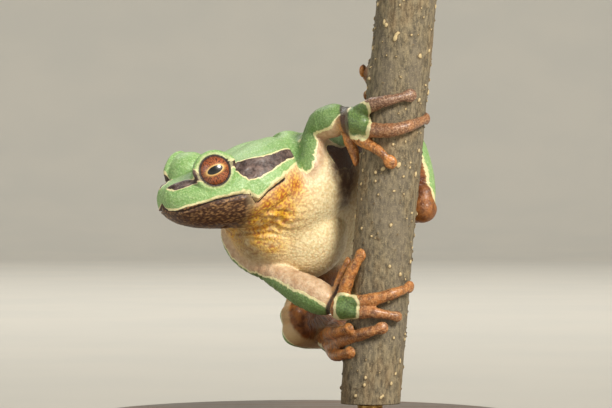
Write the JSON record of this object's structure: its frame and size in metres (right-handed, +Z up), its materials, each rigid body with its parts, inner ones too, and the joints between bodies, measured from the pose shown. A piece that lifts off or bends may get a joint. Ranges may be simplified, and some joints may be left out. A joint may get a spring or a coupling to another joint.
{
  "type": "tree frog on stem model",
  "caption": "European tree frog, life-size still model gripping a cut length of upright stem, held by a rod on a flat round display base",
  "frame": {"origin": "middle of the display base's underside, on the surface it stands on", "axes": "+Z up along the stem, -Y towards the picture's viewpoint, +X to the viewer's right"},
  "size_m": [0.062, 0.062, 0.066],
  "materials": {
    "stand_wood": "dark oiled hardwood, satin",
    "stand_brass": "brushed brass rod",
    "bark": "grey-brown bark with small pale warts, matt",
    "skin_green": "smooth moist green skin with a dark side stripe and a granular cream belly",
    "skin_limb": "moist skin, green outside and pinkish cream inside",
    "skin_digit": "thin orange-brown skin of the digits and discs",
    "eye_copper": "glossy copper iris with a black horizontal pupil"
  },
  "bodies": {
    "root": {"stand_base": "stand_wood", "stand_rod": "stand_brass", "perch": "bark", "trunk": "skin_green", "head": "skin_green", "eye_left": "eye_copper", "eye_right": "eye_copper", "upper_arm_left": "skin_limb", "forearm_left": "skin_limb", "hand_left": "skin_digit", "upper_arm_right": "skin_limb", "forearm_right": "skin_limb", "hand_right": "skin_digit", "thigh_left": "skin_limb", "shank_left": "skin_limb", "tarsus_left": "skin_limb", "foot_left": "skin_digit", "thigh_right": "skin_limb", "shank_right": "skin_limb", "tarsus_right": "skin_limb", "foot_right": "skin_digit"}
  },
  "joints": []
}
